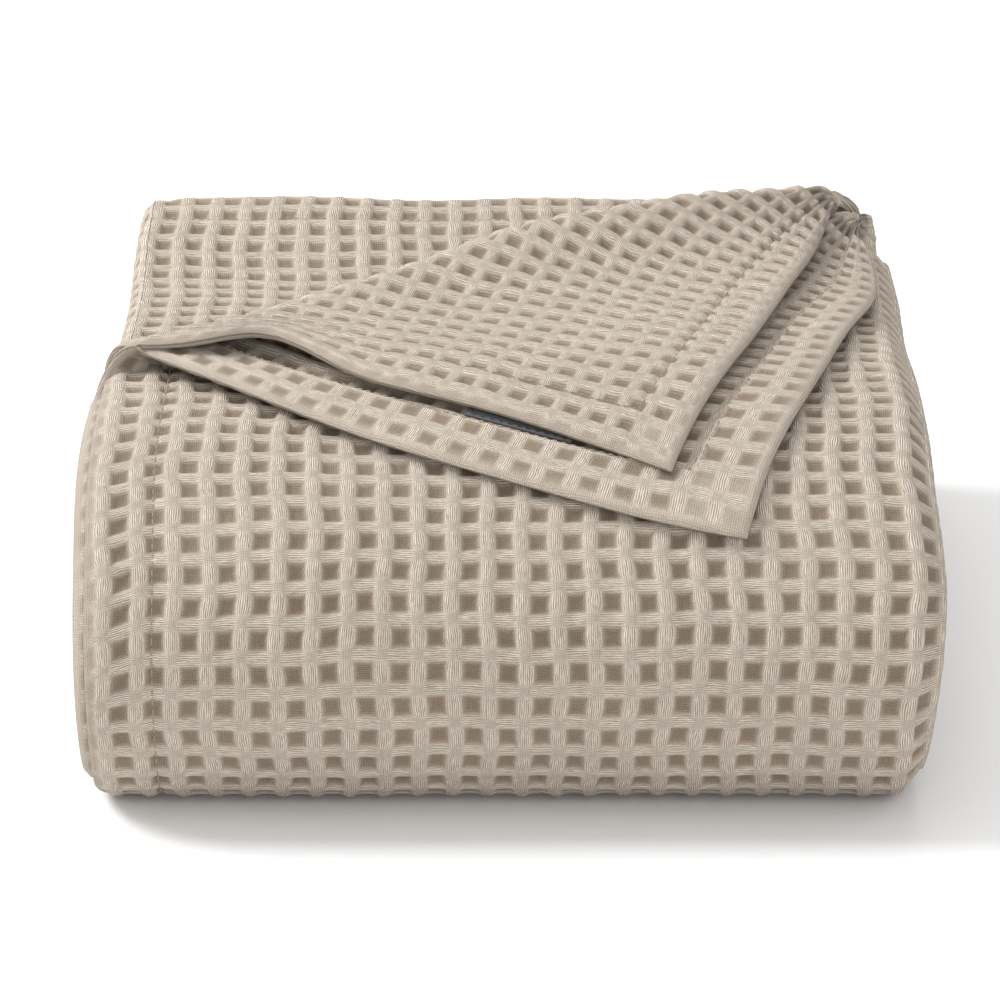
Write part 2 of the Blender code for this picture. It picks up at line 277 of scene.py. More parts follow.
class LeftFoldPly(Ply):
    """The fourth ply: u runs from the right fold to the left, round the left fold and up to the third ply."""

    def __init__(self, depth, joined_depth, end_y, return_end_y):
        super().__init__(LEFT_FOLD_X, depth, end_y, return_end_y, raise_end=THIRD_RAISE)
        self.fold_radius = (depth - joined_depth) / 2
        self.width = self.flat_width + math.pi * self.fold_radius

    def raise_share(self, u):
        return mix(FOURTH_RAISE_SHARE, 1.0, smooth((u - self.flat_width) / (self.width - self.flat_width)))

    def section(self, u):
        turn = np.clip((u - self.flat_width) / self.fold_radius, 0, math.pi)
        x = RIGHT_FOLD_X - np.minimum(u, self.flat_width) - self.fold_radius * np.sin(turn)
        return x, self.depth - self.fold_radius * (1 - np.cos(turn))


# The turned-back corner. What is called a share is of the crease's length or of the flap's reach.
SHIFT_SHARE = 0.6
ROLL_MIDDLE_SHARE = 0.66
ROLL_MOST_SHARE = 0.6  # of a column's turned length, at its short end
SLIDE_RIGHT_SHARE = 0.05  # how much of the roll's slide along the crease is left at its right end
EDGE_SPREAD, EDGE_SAMPLES, EDGE_FALL, EDGE_EASE = 0.03, 7, 0.04, 0.06  # smoothing of the flap's end hem
BOW_REACH = 0.13
LIFT_FADE, LIFT_POWER = 0.035, 1.5
ARCH_X, ARCH_HALF_WIDTH, ARCH_REACH, ARCH_START_SHARE, ARCH_RAISE = -0.100, 0.030, 0.045, 0.35, 0.0060
FOLD_PULL = 0.020  # how near the right fold the turned cloth starts to run down to it
# Where the rows slant down beside the left hem: from the crease on, and fading at the foremost line
DRAG_START, DRAG_EASE, DRAG_FADE, DRAG_FADE_START, DRAG_FADE_SPAN = 0.008, 0.06, 0.85, 1.75, 0.6
DRAG_HEM_SHARE, DRAG_WIDTH = 0.75, 0.10


def crease_y(x):
    return CREASE_Y + (x - CREASE_X) * math.tan(CREASE_ANGLE)


def along_crease(sizes, share):
    """A size that is given at the crease's left end, inside it and at its right end."""
    left, middle, right = sizes
    rising = mix(left, middle, smooth(share / ROLL_MIDDLE_SHARE))
    return mix(rising, right, smooth((share - ROLL_MIDDLE_SHARE) / (1 - ROLL_MIDDLE_SHARE)))


class TurnedPly(Ply):
    """A ply whose left back corner is turned back: beyond the crease it rolls over and lies on the stack.

    ends lists (u, x, y) along its end hem, tip first. rest is how high the flap lies above the outer surface.
    roll_out and roll_up give the crease roll's half width and height at its left end, inside and right end.
    bow moves the side hem's middle, in x and along the flap. shift moves the crease's left end forwards. arch
    lifts the side hem near the left, and drag slants the rows beside the hem that stays in the stack.
    """

    def __init__(self, *args, ends, rest, roll_out, roll_up, bow, shift=0.0, arch=0.0, drag=0.0, **more):
        super().__init__(*args, **more)
        self.ends = np.array(ends)
        self.rest, self.roll_out, self.roll_up = rest, roll_out, roll_up
        self.bow, self.shift, self.arch, self.drag = bow, shift, arch, drag
        self.lifted = Track(-rest, self.end_y, RETURN_END_Y[0])
        y, _ = path(self.lifted.stations, -rest, self.end_y, RETURN_END_Y[0])
        top = self.lifted.stations <= NOSE
        self.top_y = y[top][::-1]
        self.top_v = self.lifted.lengths[top][::-1]

    def crease(self, u):
        """(x, y) where column u reaches the crease, and how far along the crease that is, from 0 to 1."""
        x = self.left_x + np.minimum(u, self.flat_width)
        share = (x - self.left_x) / self.flat_width
        return x, crease_y(x) - self.shift * (1 - smooth(share / SHIFT_SHARE)), share

    def crease_v(self, u):
        return self.end_y - self.crease(u)[1]

    def lifted_v(self, y):
        """The distance along the lifted track, which runs above the outer surface, that reaches this y."""
        return np.interp(y, self.top_y, self.top_v)

    def end_edge(self, u):
        """Where column u ends on the flap: x and the distance along the lifted track."""
        knots, xs, ys = self.ends.T
        return np.interp(u, knots, xs), self.lifted_v(np.interp(u, knots, ys))

    def smooth_end_edge(self, u):
        spread = np.linspace(-EDGE_SPREAD, EDGE_SPREAD, EDGE_SAMPLES)
        weight = 1 - np.abs(spread) / EDGE_FALL
        weight /= weight.sum()
        reach = np.clip(u / EDGE_EASE, 0, 1)
        xs, vs = 0.0, 0.0
        for step, share in zip(spread, weight):
            x, v = self.end_edge(u + step * reach)
            xs, vs = xs + share * x, vs + share * v
        return xs, vs

    def turned(self, u, v):
        """(x, y, z) of the roll and the flap, before settling."""
        x_k, y_k, share = self.crease(u)
        q = np.maximum(self.crease_v(u) - v, 0.0)
        reach_out = along_crease(self.roll_out, share)
        reach_up = along_crease(self.roll_up, share)
        rolled = np.pi * (reach_out + reach_up) / 2 / OUT[1]
        rolled = np.minimum(rolled, ROLL_MOST_SHARE * self.crease_v(u))
        turn = np.clip(q / rolled, 0, 1)
        slide = ALONG[1] * rolled * np.clip(mix(1.0, SLIDE_RIGHT_SHARE, share), 0, 1)
        bulge = reach_out * np.sin(np.pi * turn)
        roll = (
            x_k + ALONG[0] * slide * turn + OUT[0] * bulge,
            y_k + ALONG[1] * slide * turn + OUT[1] * bulge,
            HEIGHT - self.depth + reach_up * (1 - np.cos(np.pi * turn)),
        )
        lift = (2 * reach_up - self.depth - self.rest) * np.exp(
            -np.maximum((q - rolled) / LIFT_FADE, 0) ** LIFT_POWER
        )
        g = np.clip((q - rolled) / (self.crease_v(u) - rolled), 0, 1)
        start = (x_k + ALONG[0] * slide, self.lifted_v(y_k + ALONG[1] * slide))
        flap = self.flap(u, g, start, lift)
        return np.stack([np.where(q > rolled, a, b) for a, b in zip(flap, roll)], axis=-1)

    def flap(self, u, g, start, lift):
        """(x, y, z) where g runs from 0 at start, which is beside the roll, to 1 at the end hem."""
        end_x, end_v = self.smooth_end_edge(u)
        bowed = 2 * g * (1 - g) * np.exp(-((u / BOW_REACH) ** 2))
        x = mix(start[0], end_x, g) + bowed * self.bow[0]
        v = mix(start[1], end_v, g) - bowed * self.bow[1]
        if self.arch:
            near = np.exp(-(((x - ARCH_X) / ARCH_HALF_WIDTH) ** 2)) * np.exp(-((u / ARCH_REACH) ** 2))
            v = v - self.arch * near * smooth(g / ARCH_START_SHARE)
            lift = lift + ARCH_RAISE * near
        y, z = self.lifted.place(v, -self.rest)
        return x, y, z + lift

    def dragged(self, u, v):
        """v moved so that the rows slant down beside the left hem."""
        if not self.drag:
            return v
        begins = smooth((v - self.crease_v(u) - DRAG_START) / DRAG_EASE)
        fades = 1 - DRAG_FADE * smooth((self.track.station(v) - DRAG_FADE_START) / DRAG_FADE_SPAN)
        beside = np.clip(1 - u / DRAG_WIDTH, 0, 1) ** 2
        slant = mix(beside, np.clip(1 - u / HEM, 0, 1), DRAG_HEM_SHARE)
        return v + self.drag * slant * begins * fades

    def place(self, u, v):
        u, v = np.broadcast_arrays(u, v)
        # Towards the right fold the end of the cloth runs down to the ply that it joins there.
        pull = (u - self.flat_width + FOLD_PULL) / (self.width - self.flat_width + FOLD_PULL)
        turned = mix(self.turned(u, v), self.stacked(u, v), smooth(pull)[..., None])
        beyond = (v < self.crease_v(u))[..., None]
        return settle(np.where(beyond, turned, self.stacked(u, self.dragged(u, v))))


# Relief of the weave. Across half a cell a profile runs from 0 in the middle of a pit to 1 on the ridge.
UPRIGHT_START, UPRIGHT_WAIST, UPRIGHT_SPAN = 0.50, 0.12, 0.16
LEVEL_START, LEVEL_SPAN = 0.44, 0.36
BUNDLE_START, BUNDLE_WAIST, BUNDLE_SPAN, BUNDLE_DIP = 0.22, 0.10, 0.56, 0.13
BAR_START, BAR_SPAN, BAR_LOW, BAR_RISE = 0.20, 0.68, 0.66, 0.20
JOIN_POWER = 5


def waffle(cu, cv):
    """(ridge along v, ridge along u, height from -1 to 1) at cell coordinates; pits are at whole numbers."""
    p = 2 * np.abs(cu - np.round(cu))
    q = 2 * np.abs(cv - np.round(cv))
    upright = smooth((p - UPRIGHT_START - UPRIGHT_WAIST * q * q) / UPRIGHT_SPAN)
    level = smooth((q - LEVEL_START) / LEVEL_SPAN)
    bundle = smooth((p - BUNDLE_START - BUNDLE_WAIST * q * q) / BUNDLE_SPAN) * (1.0 - BUNDLE_DIP * q * q)
    bar = smooth((q - BAR_START) / BAR_SPAN) * (BAR_LOW + BAR_RISE * p * p)
    height = (bundle**JOIN_POWER + bar**JOIN_POWER) ** (1 / JOIN_POWER)
    return upright, level, 2 * np.minimum(height, 1.0) - 1


# Meshes


def add_to_scene(name, data, place=(0.0, 0.0, 0.0)):
    obj = bpy.data.objects.new(name, data)
    obj.location = place
    bpy.context.scene.collection.objects.link(obj)
    return obj


class Builder:
    """Collects the closed shells of one piece and makes its mesh."""

    def __init__(self):
        self.points, self.weave, self.cloth = [], [], []
        self.sizes, self.corners, self.bake, self.sharp = [], [], [], []
        self.count = 0
        self.area = 0.0

    def add_points(self, points, weave, cloth):
        for store, values in ((self.points, points), (self.weave, weave), (self.cloth, cloth)):
            store.append(values.reshape(-1, 3))
        rows, columns = points.shape[:2]
        self.count += rows * columns
        return np.arange(self.count - rows * columns, self.count).reshape(rows, columns)

    def add_faces(self, corners, bake, sharp=False):
        """corners is (n, sides) vertex indices and bake the (n, sides, 2) places in the baked map.

        sharp says which faces have sharp edges, which keep the shading of a cut edge off the cloth beside it.
        """
        self.sharp.append(np.repeat(np.broadcast_to(sharp, len(corners)), corners.shape[1]))
        self.sizes.append(np.full(len(corners), corners.shape[1]))
        self.corners.append(corners.reshape(-1))
        self.bake.append(bake.reshape(-1, 2))

    def make(self, name, material):
        mesh = bpy.data.meshes.new(name)
        points = np.concatenate(self.points)
        corners = np.concatenate(self.corners)
        sizes = np.concatenate(self.sizes)
        mesh.vertices.add(len(points))
        mesh.vertices.foreach_set("co", points.astype(np.float32).ravel())
        mesh.loops.add(len(corners))
        mesh.loops.foreach_set("vertex_index", corners.astype(np.int32))
        mesh.polygons.add(len(sizes))
        starts = np.concatenate(([0], np.cumsum(sizes)[:-1]))
        mesh.polygons.foreach_set("loop_start", starts.astype(np.int32))
        mesh.update(calc_edges=True)
        for label, values in (("weave", self.weave), ("cloth", self.cloth)):
            attribute = mesh.attributes.new(label, "FLOAT_VECTOR", "POINT")
            attribute.data.foreach_set("vector", np.concatenate(values).astype(np.float32).ravel())
        layer = mesh.uv_layers.new(name="OFBake")
        layer.data.foreach_set("uv", np.concatenate(self.bake).astype(np.float32).ravel())
        mesh.shade_smooth()
        edges = np.empty(len(corners), np.int32)
        mesh.loops.foreach_get("edge_index", edges)
        sharp = np.zeros(len(mesh.edges), bool)
        sharp[edges[np.concatenate(self.sharp)]] = True
        mesh.attributes.new("sharp_edge", "BOOLEAN", "EDGE").data.foreach_set("value", sharp)
        mesh.materials.append(material)
        return add_to_scene(name, mesh)


NORMAL_STEP = 0.0006


def normals_of(place, u, v, side):
    """Unit normals towards the cloth's right side; side is 1 where that faces out of the stack."""
    across = place(u + NORMAL_STEP, v) - place(u - NORMAL_STEP, v)
    along = place(u, v + NORMAL_STEP) - place(u, v - NORMAL_STEP)
    normal = -side * np.cross(across, along)
    return normal / np.maximum(np.linalg.norm(normal, axis=-1, keepdims=True), 1e-12)


# How far rows and columns wander, in cells, and how much the ridges' heights differ
WANDER, JITTER, UNEVEN = 0.055, 0.03, 0.20
# Hems: the step where their layers end, the groove that the seam presses in, and how much flatter they are
HEM_START, HEM_STEP = 0.0008, 0.0016
GROOVE_WIDTH, GROOVE_DEPTH, GROOVE_FLATTENS = 0.0011, 0.0007, 0.5
HEM_FLATTENS = 0.6  # on the wrong side
CORNER_SIZE, CORNER_FADE, CORNER_FLATTENS = 0.026, 0.006, 0.80
# A hem's edge: how little relief it has, and where relief and floating yarns begin
EDGE_RELIEF, RELIEF_START, RELIEF_FADE = 0.20, 0.001, 0.0075
FLOAT_START, FLOAT_FADE = 0.0015, 0.003
THINNEST_SHARE = 0.012  # of the edge's rounding, so that both sides never meet
# The painted pit shade at a hem's edge, where the relief is low:
EDGE_TONE = 0.85  # from a pit's tone, 0, to a crossing's, 1
BACKING = 0.7  # height of a hidden wrong side, as a share of the relief


class Cloth:
    """What is the same over one ply: which way its right side faces, its hems and where its pits lie."""

    def __init__(self, ply, side, phase_u, phase_v, hem_left=False):
        self.ply, self.side, self.phase_u, self.phase_v = ply, side, phase_u, phase_v
        self.hem_left = hem_left

    def to_edge(self, u, v):
        """Distance to the nearest hemmed edge, within the cloth."""
        distance = np.minimum(v, self.ply.track.total - v)
        return np.minimum(distance, u) if self.hem_left else distance + 0 * u

    def corner_filling(self, u, v):
        """1 in a corner where two hems lie over each other and fill the pits, 0 elsewhere."""
        if not self.hem_left:
            return 0.0
        return smooth((CORNER_SIZE - u) / CORNER_FADE) * smooth((CORNER_SIZE - v) / CORNER_FADE)

    def cells(self, u, v):
        """Cell coordinates, with rows and columns that wander a little."""
        cu, cv = (u - self.phase_u) / CELL, (v - self.phase_v) / CELL
        return (
            cu + WANDER * np.sin(0.83 * cv + 0.31 * cu) + JITTER * np.sin(2.3 * cv - 0.6 * cu),
            cv + WANDER * np.sin(0.71 * cu - 0.23 * cv + 1.0) + JITTER * np.sin(1.9 * cu + 0.5 * cv),
        )

    def surfaces(self, u, v, relief_inside=True):
        """Points of the right and of the wrong side, the weave facts of both, and the cell coordinates."""
        middle = self.ply.place(u, v)
        normal = normals_of(self.ply.place, u, v, self.side)
        cu, cv = self.cells(u, v)
        right, wrong = waffle(cu, cv), waffle(cu + 0.5, cv + 0.5)
        edge = self.to_edge(u, v)
        hem = smooth((HEM + HEM_START - edge) / HEM_STEP)
        extra = HEM_EXTRA * hem
        round_off = np.sqrt(np.clip(1 - (1 - np.clip(edge / EDGE_ROUND, THINNEST_SHARE, 1)) ** 2, 0, 1))
        groove = np.exp(-(((edge - HEM) / GROOVE_WIDTH) ** 2))
        softer = mix(EDGE_RELIEF, 1.0, smooth((edge - RELIEF_START) / RELIEF_FADE))
        softer = softer * (1 - CORNER_FLATTENS * self.corner_filling(u, v))
        uneven = 1 + UNEVEN * np.sin(0.9 * cu + 0.37 * cv) * np.sin(0.53 * cv - 0.21 * cu + 1.0)
        relief = RELIEF * softer * uneven
        up = HALF_SHEET + relief * right[2] * (1 - GROOVE_FLATTENS * groove) - GROOVE_DEPTH * groove
        down = HALF_SHEET + extra
        down = down + (relief * wrong[2] * (1 - HEM_FLATTENS * hem) if relief_inside else RELIEF * BACKING)
        up = mix(-extra / 2, up, round_off)
        down = mix(extra / 2, down, round_off)
        right_points = middle + normal * up[..., None]
        wrong_points = middle - normal * down[..., None]
        for points in (right_points, wrong_points):
            points[..., 2] = np.maximum(points[..., 2], 0.0)
        floats = smooth((edge - FLOAT_START) / FLOAT_FADE)
        # The third fact sets the painted shade of the pits: low in a pit, high on a crossing, pulled towards
        # EDGE_TONE where the relief is flattened.
        facts = [
            np.stack((w[0] * floats, w[1] * floats, mix(EDGE_TONE, 0.5 + 0.5 * w[2], softer)), axis=-1)
            for w in (right, wrong)
        ]
        return right_points, wrong_points, facts, (cu, cv)


def quads(indices):
    """(rows, columns, 4) corners of the faces between a grid's points."""
    return np.stack((indices[:-1, :-1], indices[1:, :-1], indices[1:, 1:], indices[:-1, 1:]), axis=-1)


def share_of(values):
    return (values - values[0]) / (values[-1] - values[0])


def add_shell(builder, cloth, us, vs, block, keep, relief_inside, right_map, wrong_map, hems):
    """Adds one closed shell over the grid us x vs, whose wrong side has one face for each block of faces.

    keep(u, v) says which blocks are in it, from their centres. right_map and wrong_map are areas of the baked
    map, (x0, y0, x1, y1). hems names the grid's sides that are hemmed.
    """
    u, v = np.meshgrid(us, vs, indexing="ij")
    right, wrong, facts, (cu, cv) = cloth.surfaces(u, v, relief_inside)
    cells = np.stack((cu, cv, np.zeros_like(cu)), axis=-1)
    other = np.stack((cu + 0.5, cv + 0.5, np.ones_like(cu)), axis=-1)
    low_u, high_u, low_v, high_v = us[:-1:block], us[block::block], vs[:-1:block], vs[block::block]
    kept = np.ones((len(low_u), len(low_v)), bool)
    if keep is not None:
        kept = keep(*np.meshgrid((low_u + high_u) / 2, (low_v + high_v) / 2, indexing="ij"))
    right_i = builder.add_points(right, facts[0], cells)
    coarse = (slice(None, None, block), slice(None, None, block))
    wrong_i = builder.add_points(wrong[coarse], facts[1][coarse], other[coarse])
    places = np.stack(np.meshgrid(share_of(us), share_of(vs), indexing="ij"), axis=-1)

    def in_map(area, shares):
        x0, y0, x1, y1 = area
        return (np.array((x0, y0)) + shares * (x1 - x0, y1 - y0)).reshape(-1, 2)

    flip = cloth.side > 0
    fine_kept = np.repeat(np.repeat(kept, block, 0), block, 1)
    faces = quads(right_i)[fine_kept]
    faces = faces[:, ::-1] if flip else faces
    builder.add_faces(faces, in_map(right_map, places)[faces - right_i[0, 0]])
    faces = quads(wrong_i)[kept]
    faces = faces if flip else faces[:, ::-1]
    builder.add_faces(faces, in_map(wrong_map, places[coarse])[faces - wrong_i[0, 0]])
    add_rims(builder, right_i, wrong_i, kept, block, flip, right_map, hems)
    builder.area += float(np.outer(high_u - low_u, high_v - low_v)[kept].sum())


RIM_BAND = 0.008  # height of the band above an area of the baked map that holds its rims
RIM_GAP = 0.003


def add_rims(builder, right_i, wrong_i, kept, block, flip, area, hems):
    """Faces that close the shell along every side of the kept blocks."""
    padded = np.pad(kept, 1)
    sides = (
        (kept & ~padded[:-2, 1:-1], "low_u"),
        (kept & ~padded[2:, 1:-1], "high_u"),
        (kept & ~padded[1:-1, :-2], "low_v"),
        (kept & ~padded[1:-1, 2:], "high_v"),
    )
    last_i, last_j = kept.shape[0] - 1, kept.shape[1] - 1
    polygons, sharp = [], []
    for chosen, side in sides:
        for i, j in np.argwhere(chosen):
            at_edge = {"low_u": i == 0, "high_u": i == last_i, "low_v": j == 0, "high_v": j == last_j}[side]
            sharp.append(not (at_edge and side in hems))
            rows = slice(i * block, (i + 1) * block + 1)
            columns = slice(j * block, (j + 1) * block + 1)
            if side in ("low_u", "high_u"):
                i += side == "high_u"
                fine = right_i[i * block, columns]
                coarse = (wrong_i[i, j + 1], wrong_i[i, j])
            else:
                j += side == "high_v"
                fine = right_i[rows, j * block]
                coarse = (wrong_i[i + 1, j], wrong_i[i, j])
            polygon = np.concatenate((fine, coarse))
            forward = side in ("high_u", "low_v")
            polygons.append(polygon if forward == flip else polygon[::-1])
    corners = np.array(polygons)
    x0, _, x1, y1 = area
    strip = np.linspace(x0, x1, len(corners) + 1)
    bake = np.empty((*corners.shape, 2))
    half = corners.shape[1] // 2
    bake[:, :half, 0], bake[:, half:, 0] = strip[:-1, None], strip[1:, None]
    bake[:, :, 1] = np.linspace(0, RIM_BAND, corners.shape[1]) + y1 + RIM_GAP
    builder.add_faces(corners, bake, np.array(sharp))


def grid(start, end, per_cell, block):
    """Steps from start to end at this many a cell, a whole number of blocks."""
    count = max(1, round((end - start) / CELL * per_cell / block)) * block
    return np.linspace(start, end, count + 1)


# Materials

FULL_TURN = 2 * math.pi


class Nodes:
    """Short forms for making a material's nodes."""

    def __init__(self, name):
        self.material = bpy.data.materials.new(name)
        self.material.use_nodes = True
        self.tree = self.material.node_tree
        self.shader = self.tree.nodes["Principled BSDF"]

    def link(self, value, socket):
        if isinstance(value, bpy.types.NodeSocket):
            self.tree.links.new(value, socket)
        else:
            socket.default_value = value

    def set(self, **values):
        """Sets the shader's own sockets, with _ for the spaces in their names."""
        for name, value in values.items():
            self.link(value, self.shader.inputs[name.replace("_", " ")])

    def node(self, kind, *values):
        """A new node, with values or links on its first sockets."""
        node = self.tree.nodes.new(f"ShaderNode{kind}")
        for value, socket in zip(values, node.inputs):
            self.link(value, socket)
        return node

    def math(self, operation, a, b=0.0, c=0.0, clamp=False):
        node = self.node("Math", a, b, c)
        node.operation, node.use_clamp = operation, clamp
        return node.outputs[0]

    def wave(self, value, per_unit, operation="SINE"):
        return self.math(operation, self.math("MULTIPLY", value, FULL_TURN * per_unit))

    def around(self, value, spread, middle=0.0):
        """A value from 0 to 1 made into one that lies spread / 2 to each side of middle."""
        return self.math("MULTIPLY_ADD", value, spread, middle - spread / 2)

    def attribute(self, name):
        node = self.node("Attribute")
        node.attribute_name = name
        return node.outputs["Vector"]

    def split(self, vector):
        return self.node("SeparateXYZ", vector).outputs

    def join(self, x, y, z):
        return self.node("CombineXYZ", x, y, z).outputs[0]

    def scale(self, colour, factor):
        node = self.node("VectorMath", colour)
        node.operation = "SCALE"
        self.link(factor, node.inputs["Scale"])
        return node.outputs[0]

    def noise(self, vector, scale, detail=3.0, roughness=0.6):
        node = self.node("TexNoise", vector)
        for label, value in (("Scale", scale), ("Detail", detail), ("Roughness", roughness)):
            node.inputs[label].default_value = value
        return node.outputs["Fac"]

    def blend(self, factor, a, b):
        node = self.node("Mix")
        node.data_type = "RGBA"
        self.link(factor, node.inputs["Factor"])
        for value, label in ((a, "A"), (b, "B")):
            socket = [s for s in node.inputs if s.name == label and s.type == "RGBA"][0]
            self.link((*value, 1.0) if isinstance(value, tuple) else value, socket)
        return [s for s in node.outputs if s.type == "RGBA"][0]

    def bump(self, height, strength, distance):
        node = self.node("Bump", strength, distance)
        self.link(height, node.inputs["Height"])
        self.tree.links.new(node.outputs[0], self.shader.inputs["Normal"])


YARNS_PER_CELL = 15.6
YARN_DEPTH, THREAD_DEPTH = 0.0006, 0.0001  # heights of the bumps
STRETCHED, SQUEEZED = 3.0, 22.0  # scales of the fibre noise along a yarn and across it
# The colour of the gaps between floating yarns is painted shade.
RIDGE, YARN_GAP_SHADE = (0.86, 0.78, 0.68), (0.36, 0.275, 0.195)  # floating yarns, and the gaps between them
# The pit colour is the plain weave darkened as painted shade; the colour runs to the crossing's as the
# surface rises.
PIT_SHADED_GROUND, CROSSING = (0.29, 0.215, 0.15), (0.64, 0.565, 0.475)  # plain weave in a pit and on a crossing


def waffle_material(name):
    """Cotton: long floats along the ridges, plain weave in the pits and where ridges cross, with painted
    shade in the gaps between floats and down into the pits.
    """
    n = Nodes(name)
    cells = n.attribute("cloth")
    weave = n.split(n.attribute("weave"))
    wander = n.around(n.noise(cells, 2.6, 2.0), 0.07)
    place = n.split(cells)
    cu = n.math("ADD", place[0], wander)
    cv = n.math("SUBTRACT", place[1], wander)
    # The floats of a bundle spread out between the crossings.
    spread = n.math("MULTIPLY_ADD", n.wave(cv, 1, "COSINE"), 0.03, -0.03)
    bent = n.math("MULTIPLY_ADD", n.wave(cu, 1), spread, cu)
    across, along = n.wave(bent, YARNS_PER_CELL), n.wave(cv, YARNS_PER_CELL)
    dots = n.math("MULTIPLY", n.wave(cu, YARNS_PER_CELL / 2), n.wave(cv, YARNS_PER_CELL / 2))
    dots = n.math("ABSOLUTE", dots)
    crossing = n.math("MULTIPLY", weave[0], weave[1], clamp=True)
    upright = n.math("SUBTRACT", weave[0], crossing, clamp=True)
    level = n.math("SUBTRACT", weave[1], crossing, clamp=True)
    floats = n.math("ADD", upright, level, clamp=True)
    yarn = n.math("MULTIPLY_ADD", along, level, n.math("MULTIPLY", across, upright))
    stretch_u = n.join(n.math("MULTIPLY", bent, SQUEEZED), n.math("MULTIPLY", cv, STRETCHED), 0.0)
    stretch_v = n.join(n.math("MULTIPLY", cu, STRETCHED), n.math("MULTIPLY", cv, SQUEEZED), 0.0)
    fibre_u, fibre_v = n.noise(stretch_u, 1.0, 3.0, 0.7), n.noise(stretch_v, 1.0, 3.0, 0.7)
    fibre = n.math("MULTIPLY_ADD", n.math("SUBTRACT", fibre_u, fibre_v), upright, fibre_v)
    fuzz = n.noise(cells, 34.0, 4.0, 0.75)
    mottle = n.noise(cells, 0.55)
    # Colour: the threads of a float with painted shade in the gaps between them, or the plain weave with
    # painted shade that deepens where the surface lies lower, both a little mottled
    line = n.math("MULTIPLY_ADD", yarn, 0.55, n.math("MULTIPLY_ADD", fibre, 2.2, -0.55), clamp=True)
    pit_shade = n.math("MULTIPLY_ADD", weave[2], 0.75, n.around(fuzz, 0.6), clamp=True)
    flat = n.scale(n.blend(pit_shade, PIT_SHADED_GROUND, CROSSING), n.math("MULTIPLY_ADD", dots, 0.42, 0.72))
    colour = n.blend(floats, flat, n.blend(line, YARN_GAP_SHADE, RIDGE))
    shade = n.math("MULTIPLY", n.around(fuzz, 0.24, 1.0), n.around(mottle, 0.16, 1.0))
    # Height: yarns, fibres, the dots of the plain weave and fuzz
    height = n.math("MULTIPLY_ADD", yarn, 0.6, n.math("MULTIPLY", fibre, 1.1))
    plain = n.math("MULTIPLY", n.math("SUBTRACT", 1.0, floats), dots)
    height = n.math("MULTIPLY_ADD", plain, 0.8, height)
    n.bump(n.math("MULTIPLY_ADD", fuzz, 0.6, height), 1.0, YARN_DEPTH)
    n.set(Base_Color=n.scale(colour, shade), Roughness=n.around(fuzz, 0.14, 0.91))
    n.set(Specular_IOR_Level=0.2)
    n.set(Sheen_Weight=0.2, Sheen_Roughness=0.6, Sheen_Tint=(1.0, 0.95, 0.88, 1.0))
    return n.material


def thread_material(name, light, dark):
    """Twisted thread: slanting light and dark bands along each stitch, the dark ones painted shade in the
    grooves of the twist.
    """
    n = Nodes(name)
    place = n.split(n.attribute("cloth"))
    twist = n.math("MULTIPLY_ADD", place[0], 9.0, n.math("MULTIPLY", place[1], FULL_TURN))
    twist = n.math("SINE", twist)
    factor = n.math("MULTIPLY_ADD", twist, 0.4, 0.5, clamp=True)
    n.bump(twist, 0.5, THREAD_DEPTH)
    n.set(Base_Color=n.blend(factor, dark, light), Roughness=0.75)
    return n.material


RIBS_PER_CELL, PICKS_PER_CELL = 95, 150  # of the label's satin
BORDER_LINES = ((2.2, 2.0, 1.4), (4.0, 2.4, 1.1))  # each in mm from the edge, with its fall and its strength
TAPE_DARK, TAPE_LIGHT, BORDER_BLACK = (0.028, 0.029, 0.034), (0.085, 0.086, 0.096), (0.004, 0.004, 0.005)


def label_material(name):
    """Satin-woven tape in dark grey, with a generic border of two black lines."""
    n = Nodes(name)
    place = n.split(n.attribute("cloth"))
    ribs, picks = n.wave(place[0], RIBS_PER_CELL), n.wave(place[1], PICKS_PER_CELL)
    from_edge = n.split(n.attribute("weave"))[0]
    lines = []
    for at, fall, strength in BORDER_LINES:
        off_line = n.math("ABSOLUTE", n.math("SUBTRACT", from_edge, at))
        lines.append(n.math("MULTIPLY_ADD", off_line, -fall, strength, clamp=True))
    weave = n.math("MULTIPLY_ADD", n.math("MULTIPLY", ribs, picks), 0.5, 0.5, clamp=True)
    body = n.blend(weave, TAPE_DARK, TAPE_LIGHT)
    n.bump(n.math("ADD", ribs, picks), 0.5, THREAD_DEPTH)
    n.set(Base_Color=n.blend(n.math("MAXIMUM", *lines), body, BORDER_BLACK))
    n.set(Roughness=n.around(weave, 0.2, 0.6), Sheen_Weight=0.2)
    return n.material


def floor_material():
    n = Nodes("pale_floor")
    n.set(Base_Color=(0.88, 0.88, 0.88, 1.0), Roughness=0.9, Specular_IOR_Level=0.1)
    return n.material


# Pieces

COTTON = waffle_material("waffle_cotton_look")
# The sewing thread is the cloth's colour darkened as painted shade of the seam's groove that it lies in.
THREAD = thread_material("sewing_thread_look", (0.42, 0.35, 0.28), (0.24, 0.19, 0.14))
LABEL_THREAD = thread_material("label_thread_look", (0.03, 0.03, 0.034), (0.008, 0.008, 0.009))
LABEL = label_material("woven_label_look")

